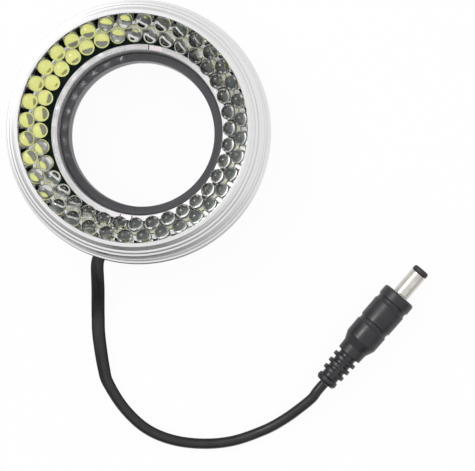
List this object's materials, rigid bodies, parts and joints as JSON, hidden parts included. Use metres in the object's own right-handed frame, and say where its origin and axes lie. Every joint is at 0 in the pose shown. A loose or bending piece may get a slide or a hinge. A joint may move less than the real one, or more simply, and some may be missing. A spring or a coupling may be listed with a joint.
{
  "type": "microscope ring light",
  "caption": "Ring light for a stereo microscope: two rows of clear lamps leaning inwards in a turned silver shell, with a black clamping collar and a short lead ending in a barrel plug.",
  "frame": {"origin": "centre of the collar's rear face, on the surface that the light rests on", "axes": "+Z along the optical axis, out of the lamps' side; the lead leaves towards -Y"},
  "size_m": [0.1363, 0.1468, 0.03],
  "materials": {
    "turned_aluminium": "satin turned",
    "black_anodised": "satin black anodised",
    "board_green": "satin solder mask",
    "clear_epoxy": "clear, glossy",
    "black_plastic": "satin",
    "brass": "turned",
    "plated_steel": "plated",
    "white_nylon": "satin",
    "black_vinyl": "satin moulded",
    "red_wire": "satin",
    "nickel_plate": "nickel plated"
  },
  "bodies": {
    "housing": {"outer_shell": "turned_aluminium", "inner_sleeve": "turned_aluminium", "rear_cover": "black_anodised", "led_board": "board_green", "inner_lamp_string_01": "clear_epoxy", "inner_lamp_string_02": "clear_epoxy", "inner_lamp_string_03": "clear_epoxy", "inner_lamp_string_04": "clear_epoxy", "inner_lamp_string_05": "clear_epoxy", "inner_lamp_string_06": "clear_epoxy", "inner_lamp_string_07": "clear_epoxy", "inner_lamp_string_08": "clear_epoxy", "inner_lamp_string_09": "clear_epoxy", "inner_lamp_string_10": "clear_epoxy", "inner_lamp_string_11": "clear_epoxy", "inner_lamp_string_12": "clear_epoxy", "outer_lamp_string_01": "clear_epoxy", "outer_lamp_string_02": "clear_epoxy", "outer_lamp_string_03": "clear_epoxy", "outer_lamp_string_04": "clear_epoxy", "outer_lamp_string_05": "clear_epoxy", "outer_lamp_string_06": "clear_epoxy", "outer_lamp_string_07": "clear_epoxy", "outer_lamp_string_08": "clear_epoxy", "outer_lamp_string_09": "clear_epoxy", "outer_lamp_string_10": "clear_epoxy", "outer_lamp_string_11": "clear_epoxy", "outer_lamp_string_12": "clear_epoxy", "resistor_array_1": "black_plastic", "resistor_array_2": "black_plastic", "resistor_array_3": "black_plastic", "input_diode": "black_plastic", "plug_tip_insulator": "black_plastic", "board_spacer_1": "brass", "board_spacer_2": "brass", "board_spacer_3": "brass", "plug_centre_contact": "brass", "board_screw_1": "plated_steel", "board_screw_2": "plated_steel", "board_screw_3": "plated_steel", "cover_screw_1": "plated_steel", "cover_screw_2": "plated_steel", "cover_screw_3": "plated_steel", "cord_tie": "white_nylon", "cord_grommet": "black_vinyl", "cord_tail": "black_vinyl", "power_cord": "black_vinyl", "plug_grip": "black_vinyl", "supply_wire_negative": "black_vinyl", "supply_wire_positive": "red_wire", "plug_barrel": "nickel_plate"},
    "clamp_tip_body_1": {"clamp_tip_1": "white_nylon"},
    "clamp_screw_body_1": {"clamp_screw_1": "plated_steel"},
    "clamp_tip_body_2": {"clamp_tip_2": "white_nylon"},
    "clamp_screw_body_2": {"clamp_screw_2": "plated_steel"},
    "clamp_tip_body_3": {"clamp_tip_3": "white_nylon"},
    "clamp_screw_body_3": {"clamp_screw_3": "plated_steel"}
  },
  "joints": [
    {"name": "clamp_advance_1", "type": "slide", "parent": "housing", "child": "clamp_tip_body_1", "axis": [0, -1, 0], "range_m": [0, 0.004]},
    {"name": "clamp_turn_1", "type": "hinge", "parent": "clamp_tip_body_1", "child": "clamp_screw_body_1", "pos_m": [0, 0.0241, 0.0034], "axis": [0, -1, 0], "range_deg": [0, 2880]},
    {"name": "clamp_advance_2", "type": "slide", "parent": "housing", "child": "clamp_tip_body_2", "axis": [0.866, 0.5, 0], "range_m": [0, 0.004]},
    {"name": "clamp_turn_2", "type": "hinge", "parent": "clamp_tip_body_2", "child": "clamp_screw_body_2", "pos_m": [-0.02087, -0.01205, 0.0034], "axis": [0.866, 0.5, 0], "range_deg": [0, 2880]},
    {"name": "clamp_advance_3", "type": "slide", "parent": "housing", "child": "clamp_tip_body_3", "axis": [-0.866, 0.5, 0], "range_m": [0, 0.004]},
    {"name": "clamp_turn_3", "type": "hinge", "parent": "clamp_tip_body_3", "child": "clamp_screw_body_3", "pos_m": [0.02087, -0.01205, 0.0034], "axis": [-0.866, 0.5, 0], "range_deg": [0, 2880]}
  ],
  "couplings": [
    {"joint": "clamp_turn_1", "follows": "clamp_advance_1", "rad_per_m": 12566},
    {"joint": "clamp_turn_2", "follows": "clamp_advance_2", "rad_per_m": 12566},
    {"joint": "clamp_turn_3", "follows": "clamp_advance_3", "rad_per_m": 12566}
  ]
}
